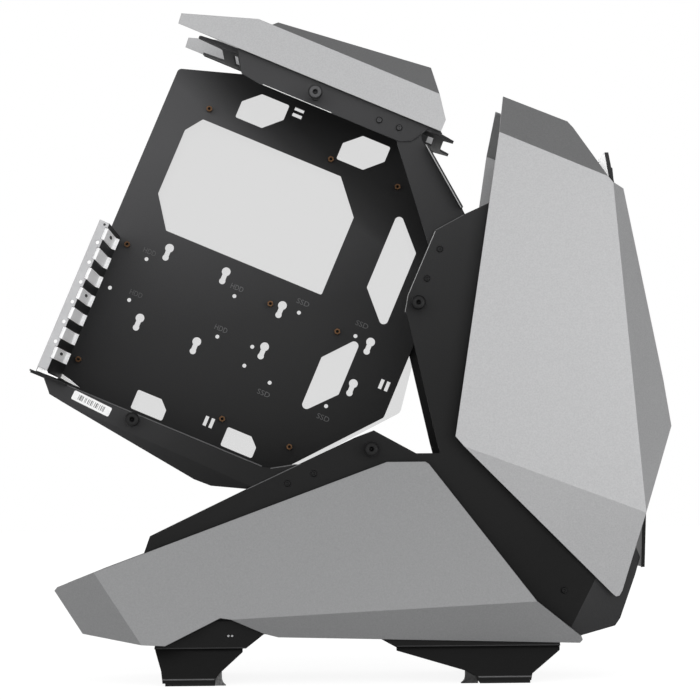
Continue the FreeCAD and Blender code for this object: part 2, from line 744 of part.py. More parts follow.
# Top cover: two flat wings, two chamfers and a top panel that narrows toward the front.
wing_depth = wing_half.number
places = {}
for index, (u, v) in enumerate(numbers("cover_wing")):
    places[f"wing{index}"] = Vector(u, -wing_depth, v)
cover_slope = size("cover_slope").number
for index, (u, v) in enumerate(numbers("cover_ridge")):
    places[f"ridge{index}"] = Vector(u, -wing_depth + (v - places["wing5"].z) / cover_slope, v)
for name in list(places):
    places[f"far_{name}"] = Vector(places[name].x, -places[name].y, places[name].z)
wing_ring = ["wing0", "wing1", "wing2", "wing3", "wing4", "wing5", "wing6"]
chamfer_ring = ["wing5", "wing4", "ridge1", "ridge0"]
cover_facets = [["ridge0", "ridge1", "far_ridge1", "far_ridge0"]]
for ring in (wing_ring, chamfer_ring):
    cover_facets.append(ring)
    cover_facets.append([f"far_{name}" for name in reversed(ring)])
top_cover = folded_sheet("top_cover", places, cover_facets, thin.number)
pieces.append(top_cover)
lean_on_tray(top_cover)

# Spacers between the top frame's side plates and the cover's wings.
cover_spacers = new_body("top_cover_spacers")
pieces.append(cover_spacers)
spacer_radius = size("spacer_radius")
cover_spots = [hexagon(u, v, spacer_radius) for u, v in corners("cover_spacer")]
cover_gap = size("wing_gap")
pad(cover_spacers, "XZ_Plane", thin - wing_half, cover_gap, cover_spots)
pad(cover_spacers, "XZ_Plane", top_half + plate, cover_gap, cover_spots)
lean_on_tray(cover_spacers)

# Side plates: a Y-shaped plate with a tail bent inward below the tower.
outer_half = side_half.number + plate.number
places = {}
for index, (x, z) in enumerate(numbers("side_main")):
    places[f"main{index}"] = Vector(x, -outer_half, z)
for index, (x, z) in enumerate(numbers("side_fold")):
    places[f"fold{index}"] = Vector(x, -outer_half, z)
tail_slope = size("tail_slope").number
for index, point in enumerate(numbers("side_tail")):
    places[f"tail{index}"] = lean_from(point, places["fold0"], places["fold1"], tail_slope)
main_ring = [f"main{index}" for index in range(20)] + ["fold0", "fold1"]
tail_ring = ["fold1", "fold0"] + [name for name in places if name.startswith("tail")]
near_side = folded_sheet("near_side_plate", places, [main_ring, tail_ring], plate.number)
pieces.append(near_side)
pieces.append(mirrored("far_side_plate", near_side))

# Struts: a pad behind the top frame, a sloping blade with a stiffening flange, a pad behind the side plate.
places = {}
for index, point in enumerate(corners("strut_head")):
    x, z = upright(point)
    places[f"head{index}"] = Vector(x.number, -top_half.number, z.number)
fold_x, fold_z = numbers("strut_fold")[0]
across = places["head4"] - places["head3"]
across.normalize()
places["fold0"] = Vector(fold_x, -half, fold_z)
places["fold1"] = places["fold0"] + across * size("strut_foot").number
for index, (x, z) in enumerate(numbers("strut_toe")):
    places[f"toe{index}"] = Vector(x, -half, z)
edge = places["fold1"] - places["head4"]
edge.normalize()
forward = Vector(0, -size("strut_flange").number, 0)
places["rib0"] = places["head4"] + edge * size("rib_start").number
places["rib1"] = places["head4"] + edge * size("rib_end").number
places["rib2"] = places["rib1"] + forward
places["rib3"] = places["rib0"] + forward
strut_facets = [["head0", "head1", "head2", "head3", "head4", "head5"],
                ["head4", "head3", "fold0", "fold1", "rib1", "rib0"],
                ["fold1", "fold0", "toe2", "toe1", "toe0"],
                ["rib0", "rib1", "rib2", "rib3"]]
near_strut = folded_sheet("near_strut", places, strut_facets, plate.number)
pieces.append(near_strut)
pieces.append(mirrored("far_strut", near_strut))

# Tower fairings: a main face with three bent facets.
places = {}
for index, (x, z) in enumerate(numbers("tower_main")):
    places[f"main{index}"] = Vector(x, -tower_half.number, z)
for name, start, end, slope in (("top", "main0", "main5", "tower_top_slope"),
                                ("prow", "main3", "main4", "tower_front_slope"),
                                ("foot", "main2", "main3", "tower_foot_slope")):
    for index, point in enumerate(numbers(f"tower_{name}")):
        places[f"{name}{index}"] = lean_from(point, places[start], places[end], size(slope).number)
tower_facets = [["main0", "main1", "main2", "main3", "main4", "main5"],
                ["main0", "main5", "top0", "top1", "top2"],
                ["main4", "main3", "prow0", "prow1", "prow2"],
                ["main3", "main2", "foot0", "foot1", "foot2", "foot3"]]
near_tower = folded_sheet("near_tower_fairing", places, tower_facets, thin.number)
pieces.append(near_tower)
pieces.append(mirrored("far_tower_fairing", near_tower))

# Base fairings: a main face that leans outward as it goes down, with bent facets behind and below.
base_lean = size("base_lean").number
base_main = numbers("base_main")
top_line = [Vector(x, -base_half.number, z) for x, z in (base_main[0], base_main[8])]
places = {}
for index, point in enumerate(base_main):
    places[f"main{index}"] = lean_from(point, top_line[0], top_line[1], -base_lean)
base_slope = size("base_slope").number
for index, point in enumerate(numbers("base_back")):
    places[f"back{index}"] = lean_from(point, places["main0"], places["main1"], base_slope)
for index, point in enumerate(numbers("base_foot")):
    places[f"foot{index}"] = lean_from(point, places["main4"], places["main5"], base_slope)
base_facets = [[f"main{index}" for index in range(9)],
               ["main1", "main0", "back0", "back1", "back2"],
               ["main5", "main4", "foot0", "foot1", "foot2", "foot3", "foot4"]]
near_base = folded_sheet("near_base_fairing", places, base_facets, thin.number)
pieces.append(near_base)
pieces.append(mirrored("far_base_fairing", near_base))

# Round spacers that carry the fairings on the side plates.
tower_spacers = new_body("tower_spacers")
pieces.append(tower_spacers)
tower_spots = [hexagon(x, z, spacer_radius) for x, z in corners("tower_spacer")]
tower_gap = size("tower_gap")
pad(tower_spacers, "XZ_Plane", thin - tower_half, tower_gap, tower_spots)
pad(tower_spacers, "XZ_Plane", side_half + plate, tower_gap, tower_spots)

base_spacers = new_body("base_spacers")
pieces.append(base_spacers)
for x, z in corners("base_spacer"):
    wall = lean_from((x.number, z.number), top_line[0], top_line[1], -base_lean)
    reach = -wall.y - thin.number * math.hypot(1, base_lean) - spacer_radius.number * base_lean - outer_half
    for side in (-1, 1):
        at = -(side_half + plate + reach) if side < 0 else side_half + plate
        pad(base_spacers, "XZ_Plane", at, reach, [hexagon(x, z, spacer_radius)])

# Front panel: two fan openings, side flanges, an apron bent back below and two prongs bent back above.
panel = new_body("front_fan_panel")
pieces.append(panel)
panel_tall = size("panel_tall")
flange_foot = size("panel_flange_foot")
narrow_half = side_half - size("panel_narrow")
panel_outline = [(-narrow_half, zero), (narrow_half, zero), (narrow_half, flange_foot),
                 (side_half, flange_foot), (side_half, panel_tall), (-side_half, panel_tall),
                 (-side_half, flange_foot), (-narrow_half, flange_foot)]
pad(panel, "YZ_Plane", 0, thin, [panel_outline])
fan_rows = [panel_tall * 0.5 + size("fan_pitch") * step for step in (-0.5, 0.5)]
fan_square = size("fan_square")
panel_holes = [(zero, row, size("fan_radius")) for row in fan_rows]
for row in fan_rows:
    for y, z in ((-fan_square, -fan_square), (fan_square, -fan_square), (-fan_square, fan_square),
                 (fan_square, fan_square)):
        panel_holes.append((y, row + z, size("fan_screw")))
pocket(panel, "YZ_Plane", 0, thin, (), panel_holes)
flange = box(-size("panel_flange"), zero, flange_foot, panel_tall - size("panel_flange_clear"))
pad(panel, "XZ_Plane", -side_half, thin, [flange])
pad(panel, "XZ_Plane", side_half - thin, thin, [flange])
prong_back, prong_wide = size("prong_back"), size("prong_wide")
prong_bend = panel_tall + size("prong_root")
prong_top = prong_bend + size("prong_long")
prong = [(zero, panel_tall), (thin, panel_tall), (thin, prong_bend), (thin - prong_back, prong_top),
         (-prong_back, prong_top), (zero, prong_bend)]
pad(panel, "XZ_Plane", -side_half, prong_wide, [prong])
pad(panel, "XZ_Plane", side_half - prong_wide, prong_wide, [prong])
apron_back, apron_foot = size("apron_back"), -size("apron_long")
apron = [(-apron_back, apron_foot), (thin - apron_back, apron_foot), (thin, zero), (zero, zero)]
pad(panel, "XZ_Plane", -narrow_half, narrow_half + narrow_half, [apron])
apron_hem = size("apron_hem")
hem_strip = [(-apron_back - apron_hem, apron_foot), (-apron_back, apron_foot), (zero, zero),
             (-apron_hem, zero)]
pad(panel, "XZ_Plane", -narrow_half, thin, [hem_strip])
pad(panel, "XZ_Plane", narrow_half - thin, thin, [hem_strip])
panel.Placement = Placement(Vector(size("panel_x").number, 0, size("panel_z").number),
                            Rotation(Vector(0, -1, 0), size("panel_lean").number))
panel.setExpression("Placement.Base.x", "Sheet.panel_x * 1mm")
panel.setExpression("Placement.Base.z", "Sheet.panel_z * 1mm")
panel.setExpression("Placement.Rotation.Angle", "Sheet.panel_lean * 1deg")

# Base floor: a vented sheet between the side plates with turned-up edges.
base_floor = new_body("base_floor")
pieces.append(base_floor)
floor_z = size("base_floor_z")
floor_back, floor_front = size("base_floor_back"), size("base_floor_front")
pad(base_floor, "XY_Plane", floor_z, thin, [box(floor_back, floor_front, -side_half, side_half)])
edge_top = floor_z + size("base_edge_tall")
edge_strip = box(floor_back, floor_front, floor_z + thin, edge_top)
pad(base_floor, "XZ_Plane", -side_half, thin, [edge_strip])
pad(base_floor, "XZ_Plane", side_half - thin, thin, [edge_strip])
vent_half = size("vent_wide") * 0.5
vent_reach = size("vent_long") * 0.5
vents = []
for index in range(8):
    middle = size("bracket_x") + size("vent_start") + size("vent_pitch") * index
    vents.append(box(middle - vent_half, middle + vent_half, -vent_reach, vent_reach))
pocket(base_floor, "XY_Plane", floor_z, thin, vents)

# Power supply bracket: an upright frame between the side plates.
bracket = new_body("power_supply_bracket")
pieces.append(bracket)
bracket_x = size("bracket_x")
bracket_top = size("bracket_top")
inner_half = side_half - thin
pad(bracket, "YZ_Plane", bracket_x, thin, [box(-inner_half, inner_half, floor_z + thin, bracket_top)])
supply_half = size("supply_half")
pocket(bracket, "YZ_Plane", bracket_x, thin,
       [box(-supply_half, supply_half, size("supply_foot"), bracket_top - size("supply_rim"))])
bracket_foot = edge_top + size("bracket_clear")
bracket_side = box(bracket_x - size("bracket_flange"), bracket_x + thin, bracket_foot, bracket_top)
pad(bracket, "XZ_Plane", -side_half, thin, [bracket_side])
pad(bracket, "XZ_Plane", side_half - thin, thin, [bracket_side])


# Feet: channels folded across the case. The flange stands outside the side plate; below it the wall
# steps in and flares out toward the floor.
def fold_foot(label):
    points = numbers(label)
    outer = outer_half + plate.number
    inset = outer - size("foot_step").number
    lip = outer + size("foot_flare").number
    high, low = size("foot_shoulder").number, size("foot_lip").number
    places = {}
    for row, name in enumerate(("top", "flange", "step", "shoulder", "knee", "lip", "base")):
        for side, word in enumerate(("back", "front")):
            x, z = points[2 * row + side]
            slant = inset + (lip - inset) * (high - z) / (high - low)
            depth = {"top": outer, "flange": outer, "base": lip}.get(name, slant)
            places[f"{name}_{word}"] = Vector(x, -depth, z)
            places[f"far_{name}_{word}"] = Vector(x, depth, z)
    wall = ["step_back", "shoulder_back", "knee_back", "lip_back", "lip_front", "knee_front",
            "shoulder_front", "step_front"]
    facets = [["base_back", "far_base_back", "far_base_front", "base_front"]]
    for ring in (["top_back", "flange_back", "flange_front", "top_front"],
                 ["flange_back", "step_back", "step_front", "flange_front"],
                 wall,
                 ["lip_back", "base_back", "base_front", "lip_front"]):
        facets.append(ring)
        facets.append([f"far_{name}" for name in reversed(ring)])
    return folded_sheet(label, places, facets, plate.number)


pieces.append(fold_foot("rear_foot"))
pieces.append(fold_foot("front_foot"))

# Rubber pads: one under each end of each foot.
foot_pads = new_body("foot_pads")
pieces.append(foot_pads)
foot_half = side_half + plate + plate + size("foot_flare")
pad_long = size("pad_long")
pad_outlines = []
for label in ("rear", "front"):
    left, right = size(f"{label}_pad_back"), size(f"{label}_pad_front")
    pad_outlines.append(box(left, right, -foot_half, pad_long - foot_half))
    pad_outlines.append(box(left, right, foot_half - pad_long, foot_half))
pad(foot_pads, "XY_Plane", 0, size("pad_tall"), pad_outlines)

# Posts for the side panels, and knurled thumbscrews on their ends.
knobs = corners("knob")
post_radius = size("post_radius")
near_posts = new_body("near_panel_posts")
far_posts = new_body("far_panel_posts")
pieces += [near_posts, far_posts]
carriers = [top_half + plate, side_half + plate, side_half + plate, side_half]
for index, ((u, v), carrier) in enumerate(zip(knobs, carriers)):
    post = [hexagon(u, v, post_radius)]
    pad(near_posts, "XZ_Plane", -post_half, post_half - carrier, post)
    if index != 2:
        pad(far_posts, "XZ_Plane", carrier, post_half - carrier, post)
lean_on_tray(near_posts)
lean_on_tray(far_posts)
knob_long = size("knob_long")
glass_thick = size("glass_thick")


def turn_knobs(label, spots, at, sign):
    body = new_body(label)
    collar = size("knob_collar_long")
    spans = ((zero, collar, "knob_collar"), (collar, knob_long, "knob_radius"))
    for start, end, radius in spans:
        low = at + start if sign > 0 else at - end
        pad(body, "XZ_Plane", low, end - start, (), [(u, v, size(radius)) for u, v in spots])
    lean_on_tray(body)
    return body


pieces.append(turn_knobs("near_thumbscrews", knobs, -post_half, -1))
far_knobs = [point for index, point in enumerate(knobs) if index != 2]
pieces.append(turn_knobs("far_thumbscrews", far_knobs, post_half + glass_thick, 1))

# Far glass panel, held between the far posts and their thumbscrews.
glass = new_body("far_glass_panel")
pieces.append(glass)
glass_edge = corners("glass_edge")
glass_pad = pad(glass, "XZ_Plane", post_half, glass_thick, [glass_edge])
round_corners(glass, glass_pad, "XZ_Plane", glass_edge, size("glass_corner"))
lean_on_tray(glass)

# Button-head screws on the side plates, the top frame and the feet.
screw_radius = size("screw_radius")
screw_tall = size("screw_tall")
near_screws = new_body("near_frame_screws")
pieces.append(near_screws)
side_spots = [(x, z, screw_radius) for x, z in corners("side_screw")]
top_spots = [upright(point) + (screw_radius,) for point in corners("top_screw")]
foot_spots = [(x, z, size("foot_screw_radius")) for x, z in corners("foot_screw")]
pad(near_screws, "XZ_Plane", -(side_half + plate + screw_tall), screw_tall, (), side_spots)
pad(near_screws, "XZ_Plane", -(top_half + plate + screw_tall), screw_tall, (), top_spots)
foot_tall = size("foot_screw_tall")
pad(near_screws, "XZ_Plane", -(side_half + plate + plate + foot_tall), foot_tall, (), foot_spots)
pieces.append(mirrored("far_frame_screws", near_screws))

doc.recompute()
for item in doc.Objects:
    if "Invalid" in item.State or "Error" in item.State:
        raise RuntimeError(f"{item.Name} is {item.State}")
for piece in pieces:
    if piece.Shape.isNull() or not piece.Shape.isValid():
        raise RuntimeError(f"{piece.Label} has no sound shape")
os.makedirs("parts", exist_ok=True)
for piece in pieces:
    piece.Shape.exportStep(f"parts/{piece.Label}.step")
print(f"{len(pieces)} pieces written")
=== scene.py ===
import json
import math
import bpy
import numpy as np
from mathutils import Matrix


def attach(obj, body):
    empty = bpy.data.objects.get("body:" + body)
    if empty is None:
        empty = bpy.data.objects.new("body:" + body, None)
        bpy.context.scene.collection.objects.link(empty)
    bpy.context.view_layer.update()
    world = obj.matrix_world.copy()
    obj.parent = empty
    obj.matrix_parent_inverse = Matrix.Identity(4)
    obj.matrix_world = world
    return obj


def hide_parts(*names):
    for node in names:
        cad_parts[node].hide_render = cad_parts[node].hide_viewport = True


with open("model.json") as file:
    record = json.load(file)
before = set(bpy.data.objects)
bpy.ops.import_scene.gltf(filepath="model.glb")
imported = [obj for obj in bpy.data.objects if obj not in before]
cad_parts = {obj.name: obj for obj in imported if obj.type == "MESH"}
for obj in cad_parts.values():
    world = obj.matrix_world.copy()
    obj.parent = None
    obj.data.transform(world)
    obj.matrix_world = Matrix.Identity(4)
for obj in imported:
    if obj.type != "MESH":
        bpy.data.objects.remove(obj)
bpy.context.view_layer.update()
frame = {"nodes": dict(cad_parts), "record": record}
nodes = frame["nodes"]
print("stage: frame loaded,", len(nodes), "nodes")


class Wire:
    # A socket with the operators that shader maths needs, and one method that makes any node.
    def __init__(self, tree, socket=None):
        self.tree = tree
        self.socket = socket

    def node(self, kind, inputs=None, output=0, stops=None, **settings):
        made = self.tree.nodes.new(kind)
        for key, value in settings.items():
            setattr(made, key, value)
        if stops:
            ramp = made.color_ramp.elements
            while len(ramp) < len(stops):
                ramp.new(0.5)
            for stop, (position, color) in zip(ramp, stops):
                stop.position = position
                stop.color = (*color, 1.0)
        for key, value in (inputs or {}).items():
            if isinstance(value, Wire):
                self.tree.links.new(value.socket, made.inputs[key])
            else:
                made.inputs[key].default_value = value
        return Wire(self.tree, made.outputs[output])

    def maths(self, operation, first, second):
        return self.node("ShaderNodeMath", {0: first, 1: second}, operation=operation)

    def __add__(self, other):
        return self.maths("ADD", self, other)

    __radd__ = __add__

    def __sub__(self, other):
        return self.maths("SUBTRACT", self, other)

    def __rsub__(self, other):
        return self.maths("SUBTRACT", other, self)

    def __mul__(self, other):
        return self.maths("MULTIPLY", self, other)

    __rmul__ = __mul__

    def most(self, other):
        return self.maths("MAXIMUM", self, other)

    def span(self, fromLow, fromHigh, low=0.0, high=1.0):
        return self.node("ShaderNodeMapRange", {0: self, 1: fromLow, 2: fromHigh, 3: low, 4: high})

    def part(self, axis):
        return self.node("ShaderNodeSeparateXYZ", {0: self}, output=axis)


whiteLight = (1.0, 1.0, 1.0, 1.0)
swing = (0.3, 0.7)  # most of a noise lies between these
fineDetail, cloudDetail, dustDetail = 2.0, 3.0, 4.0  # octaves of grain, of clouds and streaks, of dust and smears


def newMaterial(name, sockets):
    material = bpy.data.materials.new(name)
    material.use_nodes = True
    tree = material.node_tree
    shader = tree.nodes["Principled BSDF"]
    for key, value in sockets.items():
        shader.inputs[key].default_value = value
    return material, Wire(tree).node("ShaderNodeTexCoord", output="Object"), shader


def plug(wire, shader, name):
    wire.tree.links.new(wire.socket, shader.inputs[name])


def noise(place, scale, detail):
    return place.node("ShaderNodeTexNoise", {"Vector": place, "Scale": scale, "Detail": detail})


def blend(cloud, grain, cloudShare):
    return cloud * cloudShare + grain * (1.0 - cloudShare)


def tinted(value, look):
    stops = [(swing[0], look["dark"]), (swing[1], look["light"])]
    return value.node("ShaderNodeValToRGB", {"Fac": value}, stops=stops)


def roughened(value, look):
    return value.span(*swing, look["low"], look["high"])


def faceTurn(place, axis):
    return place.node("ShaderNodeNewGeometry", output="True Normal").part(axis)


# The grain as a bump, over edges that are rounded a little.
def bumped(height, relief):
    rounded = height.node("ShaderNodeBevel", {"Radius": relief["edge"]}, samples=4)
    return height.node("ShaderNodeBump", {"Height": height, "Strength": relief["strength"],
                                          "Distance": relief["deep"], "Normal": rounded})


# Powder coat: fine orange peel over a broad cloud; the coat is painted greyer toward the upper left: painted light.
# The painted light follows height less a share of the distance to the right, and cloud and grain waver it.
coat = dict(grain=850.0, cloud=9.0, paintedLightRamp=[(0.08, 0.0012), (0.26, 0.0075), (0.38, 0.0172), (0.57, 0.0475)],
            lean=0.25, cloudWaver=0.05, grainWaver=0.03, blue=1.04, cloudShare=0.6, low=0.42, high=0.54,
            specular=0.3, relief=dict(strength=0.2, deep=0.0004, edge=0.0006))
# The tray is painted darker toward its upper front corner, under the top frame: painted shade, where the painted light
# drops along that direction.
trayCoat = dict(coat, paintedLightRamp=[(0.08, 0.0023), (0.26, 0.011), (0.38, 0.024), (0.57, 0.072)],
                frameShadow=dict(right=0.62, up=0.823, reach=(0.370, 0.420), drop=0.30))
# The screws' ends are painted lighter than their flanks: painted shade on the flanks.
screwCoat = dict(coat, paintedLightRamp=[(0.22, 0.008), (0.38, 0.012), (0.50, 0.05), (0.56, 0.085)], low=0.32, high=0.45,
                 flankShade=dict(drop=0.34, turned=(0.85, 0.45)))
# The floor channel's own painted light, leaning further to the left.
channelCoat = dict(coat, paintedLightRamp=[(0.26, 0.007), (0.33, 0.015), (0.40, 0.033), (0.50, 0.039)], lean=0.6)
# The side plates' bent tail is painted lighter: painted light lifts the ramp on the low faces that turn to the front.
plateCoat = dict(coat, tail=dict(lift=0.42, turned=(0.12, 0.18), under=(0.19, 0.15)))
# The front panel's back is painted pale at its prongs, above, and grey at its apron, below, on faces that look back
# into the case: painted reflection.
panelCoat = dict(coat, bare=dict(back=(0.6, 0.8), above=(0.462, 0.468), below=(0.172, 0.160),
                                 pale=0.86, grey=0.42, glow=0.09))


def powderCoat(name, look):
    material, place, shader = newMaterial(name, {"Metallic": 0.0, "Specular IOR Level": look["specular"]})
    grain = noise(place, look["grain"], fineDetail)
    cloud = noise(place, look["cloud"], dustDetail)
    right, up = place.part(0), place.part(2)
    # The height picks a shade from the painted light ramp: lighter up high and to the left.
    height = up - look["lean"] * right + look["cloudWaver"] * (cloud - 0.5) + look["grainWaver"] * (grain - 0.5)
    # Painted light on the side plates' bent tail.
    if "tail" in look:
        tail = look["tail"]
        height = height + tail["lift"] * faceTurn(place, 0).span(*tail["turned"]) * up.span(*tail["under"])
    # Painted shade: faces that turn away from the Y axis drop to a darker shade.
    if "flankShade" in look:
        flankShade = look["flankShade"]
        facing = faceTurn(place, 1)
        height = height - flankShade["drop"] * (facing * facing).span(*flankShade["turned"])
    # Painted shade under the top frame: the height drops along one direction.
    if "frameShadow" in look:
        frameShadow = look["frameShadow"]
        along = frameShadow["right"] * right + frameShadow["up"] * up
        height = height - frameShadow["drop"] * along.span(*frameShadow["reach"])
    stops = [(at, (shade, shade, shade * look["blue"])) for at, shade in look["paintedLightRamp"]]
    color = height.node("ShaderNodeValToRGB", {"Fac": height}, stops=stops)
    # Painted reflection on the panel's back, and a painted glow at the apron.
    if "bare" in look:
        bare = look["bare"]
        back = (0.0 - faceTurn(place, 0)).span(*bare["back"])
        for mask, shade in (("above", bare["pale"]), ("below", bare["grey"])):
            backLightMask = back * up.span(*bare[mask])
            color = place.node("ShaderNodeMix", {"Factor": backLightMask, "A": color, "B": (shade, shade, shade, 1.0)},
                               output="Result", data_type="RGBA")
        # Only the apron, the last mask, glows a little: painted light, as it is no lamp.
        stops = [(0.0, (0.0,) * 3), (1.0, (bare["glow"],) * 3)]
        plug(backLightMask.node("ShaderNodeValToRGB", {"Fac": backLightMask}, stops=stops), shader, "Emission Color")
        shader.inputs["Emission Strength"].default_value = 1.0
    plug(color, shader, "Base Color")
    plug(roughened(blend(cloud, grain, look["cloudShare"]), look), shader, "Roughness")
    plug(bumped(grain, look["relief"]), shader, "Normal")
    return material


# Anodised aluminium: a bead-blasted grain under a soft broad variation of the sheen.
anodised = dict(grain=750.0, cloud=5.0, dark=(0.56, 0.562, 0.57), light=(0.67, 0.672, 0.678), low=0.33, high=0.41,
                colorShare=0.3, sheenShare=0.5, relief=dict(strength=0.16, deep=0.0002, edge=0.0006))
# The base fairings take a darker copy of the same finish: painted shade for their tilted faces.
shadedBaseAnodised = dict(anodised, dark=(0.358, 0.360, 0.365), light=(0.432, 0.434, 0.439))


def anodisedMetal(name, look):
    material, place, shader = newMaterial(name, {"Metallic": 1.0})
    grain = noise(place, look["grain"], fineDetail)
    cloud = noise(place, look["cloud"], cloudDetail)
    plug(tinted(blend(cloud, grain, look["colorShare"]), look), shader, "Base Color")
    plug(roughened(blend(cloud, grain, look["sheenShare"]), look), shader, "Roughness")
    plug(bumped(grain, look["relief"]), shader, "Normal")
    return material


# Drawn metal: streaks along one direction, partly dulled by zinc.
# The slot covers glow a little, though they are no lamp: painted light.
coverSteel = dict(scales=(900.0, 40.0, 900.0), dark=(0.90, 0.90, 0.905), light=(0.97, 0.97, 0.975),
                  low=0.36, high=0.5, metal=0.1, glow=0.12, relief=dict(strength=0.1, deep=0.0002, edge=0.0003))
barSteel = dict(coverSteel, scales=(40.0, 900.0, 40.0), dark=(0.56, 0.56, 0.57), light=(0.66, 0.66, 0.67),
                metal=0.5, glow=0.0)
brass = dict(coverSteel, scales=(300.0, 60.0, 300.0), dark=(0.10, 0.052, 0.026), light=(0.26, 0.145, 0.075),
             low=0.3, metal=0.9, glow=0.0)
screwSteel = dict(coverSteel, dark=(0.55, 0.55, 0.56), light=(0.75, 0.75, 0.76), metal=0.9, glow=0.0)


def drawnMetal(name, look):
    material, place, shader = newMaterial(name, {"Metallic": look["metal"], "Emission Color": whiteLight,
                                                 "Emission Strength": look["glow"]})
    stretched = place.node("ShaderNodeMapping", {"Vector": place, "Scale": look["scales"]})
    streak = noise(stretched, 1.0, cloudDetail)
    plug(tinted(streak, look), shader, "Base Color")
    plug(roughened(streak, look), shader, "Roughness")
    plug(bumped(streak, look["relief"]), shader, "Normal")
    return material


# Tinted glass: a dark sheet seen through, with faint smears in its gloss.
pane = dict(color=(0.06, 0.062, 0.065, 1.0), alpha=0.17, smear=6.0, smeared=(0.35, 0.65), low=0.03, high=0.09)


def tintedGlass(name, look):
    material, place, shader = newMaterial(name, {"Base Color": look["color"], "Alpha": look["alpha"]})
    smear = noise(place, look["smear"], dustDetail).span(*look["smeared"], look["low"], look["high"])
    plug(smear, shader, "Roughness")
    return material


# Plain finishes with a fine grain and a broad cloud: rubber, paper, ink, foot ends with painted shadow, painted edge
# highlights and stamped marks.
rubber = dict(grain=900.0, cloud=20.0, dark=(0.006, 0.006, 0.006), light=(0.012, 0.012, 0.012), low=0.7, high=0.85,
              glow=0.0, specular=0.35, cloudShare=0.6, relief=dict(strength=0.12, deep=0.0002, edge=0.0003))
paper = dict(rubber, grain=1200.0, cloud=40.0, dark=(0.86, 0.86, 0.86), light=(0.95, 0.95, 0.95), low=0.5, high=0.65)
# A pale sheet that glows though it is no lamp: painted light.
paintedLightSheet = dict(paper, glow=0.22)
ink = dict(rubber, grain=2500.0, cloud=90.0, dark=(0.10, 0.10, 0.10), light=(0.22, 0.22, 0.22), low=0.5, high=0.6)
# Finishes for the feet's ends, dark and mottled: partly painted shadow on the floor.
mouldedGrey = dict(rubber, grain=500.0, cloud=150.0, dark=(0.05, 0.05, 0.05), light=(0.22, 0.22, 0.22),
                   low=0.45, high=0.6)
mouldedBlack = dict(mouldedGrey, dark=(0.006, 0.006, 0.006), light=(0.05, 0.05, 0.05))
# Edge finishes lighter than the coat: painted highlights along edges, folds and lips.
softEdge = dict(rubber, cloud=30.0, dark=(0.022, 0.022, 0.023), light=(0.038, 0.038, 0.039), low=0.4, high=0.5)
litEdge = dict(softEdge, dark=(0.27, 0.27, 0.27), light=(0.38, 0.38, 0.38), low=0.35)
lipEdge = dict(softEdge, dark=(0.085, 0.085, 0.087), light=(0.13, 0.13, 0.132))
foldEdge = dict(softEdge, dark=(0.075, 0.075, 0.077), light=(0.125, 0.125, 0.127))
stamped = dict(softEdge, dark=(0.09, 0.09, 0.092), light=(0.135, 0.135, 0.138))


def plainFinish(name, look):
    material, place, shader = newMaterial(name, {"Specular IOR Level": look["specular"], "Emission Color": whiteLight,
                                                 "Emission Strength": look["glow"]})
    grain = noise(place, look["grain"], fineDetail)
    cloud = noise(place, look["cloud"], cloudDetail)
    mixed = blend(cloud, grain, look["cloudShare"])
    plug(tinted(mixed, look), shader, "Base Color")
    plug(roughened(mixed, look), shader, "Roughness")
    plug(bumped(grain, look["relief"]), shader, "Normal")
    return material


materials = {
    "black_steel": powderCoat("powderCoat", coat),
    "silver": anodisedMetal("anodisedAluminium", anodised),
    "bare_steel": drawnMetal("zincSteel", coverSteel),
    "black_screws": powderCoat("blackOxide", screwCoat),
    "standoff_brass": drawnMetal("turnedBrass", brass),
    "pad_rubber": plainFinish("padRubber", rubber),
    "tinted_glass": tintedGlass("tintedGlass", pane),
}
# A darker copy of the anodised finish for the base fairings: painted shade.
shadedBaseSilver = anodisedMetal("shadedBaseAnodised", shadedBaseAnodised)
sidePlate = powderCoat("sidePlateCoat", plateCoat)
ownFinish = {
    "near_base_fairing": shadedBaseSilver,
    "far_base_fairing": shadedBaseSilver,
    "motherboard_tray": powderCoat("trayCoat", trayCoat),
    "tray_floor": powderCoat("channelCoat", channelCoat),
    "front_fan_panel": powderCoat("panelCoat", panelCoat),
    "near_side_plate": sidePlate,
    "far_side_plate": sidePlate,
    "slot_clamp_bar": drawnMetal("clampBarSteel", barSteel),
}
for part in frame["record"]["subparts"]:
    surface = nodes[part["node"]].data
    surface.materials.clear()
    surface.materials.append(ownFinish.get(part["node"], materials[part["material_slot"]]))
print("stage: materials on nodes")

# The tray's frame leans back: u runs along the tray and v up it, in millimetres, both turned by the tilt.
trayFrame = dict(x=-271.0, z=313.5, tilt=math.radians(23.0))


def trayPoint(u, y, v):
    c, s = math.cos(trayFrame["tilt"]), math.sin(trayFrame["tilt"])
    return trayFrame["x"] + u * c + v * s, y, trayFrame["z"] - u * s + v * c


def trayStep(u, v):
    return np.subtract(trayPoint(u, 0.0, v), trayPoint(0.0, 0.0, 0.0))


def trayPoints(spots):
    u, y, v = np.asarray(spots, float).T
    return np.stack(trayPoint(u, y, v), -1)


# Points are in millimetres, and the mesh in metres.
def addPiece(name, points, faces, material, slot, smooth=True):
    mesh = bpy.data.meshes.new(name)
    mesh.from_pydata((np.asarray(points) / 1000.0).tolist(), [], [list(face) for face in faces])
    mesh.update()
    mesh.polygons.foreach_set("use_smooth", np.full(len(mesh.polygons), smooth))
    piece = bpy.data.objects.new(name, mesh)
    bpy.context.scene.collection.objects.link(piece)
    mesh.materials.append(material)
    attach(piece, "root")
    return piece


# Quads between neighbouring rows of a grid whose columns close into rings.
def gridFaces(rows, columns):
    r, c = np.meshgrid(np.arange(rows - 1), np.arange(columns), indexing="ij")
    here, there = r * columns, (r + 1) * columns
    nextColumn = (c + 1) % columns
    return np.stack([here + c, here + nextColumn, there + nextColumn, there + c], -1).reshape(-1, 4)


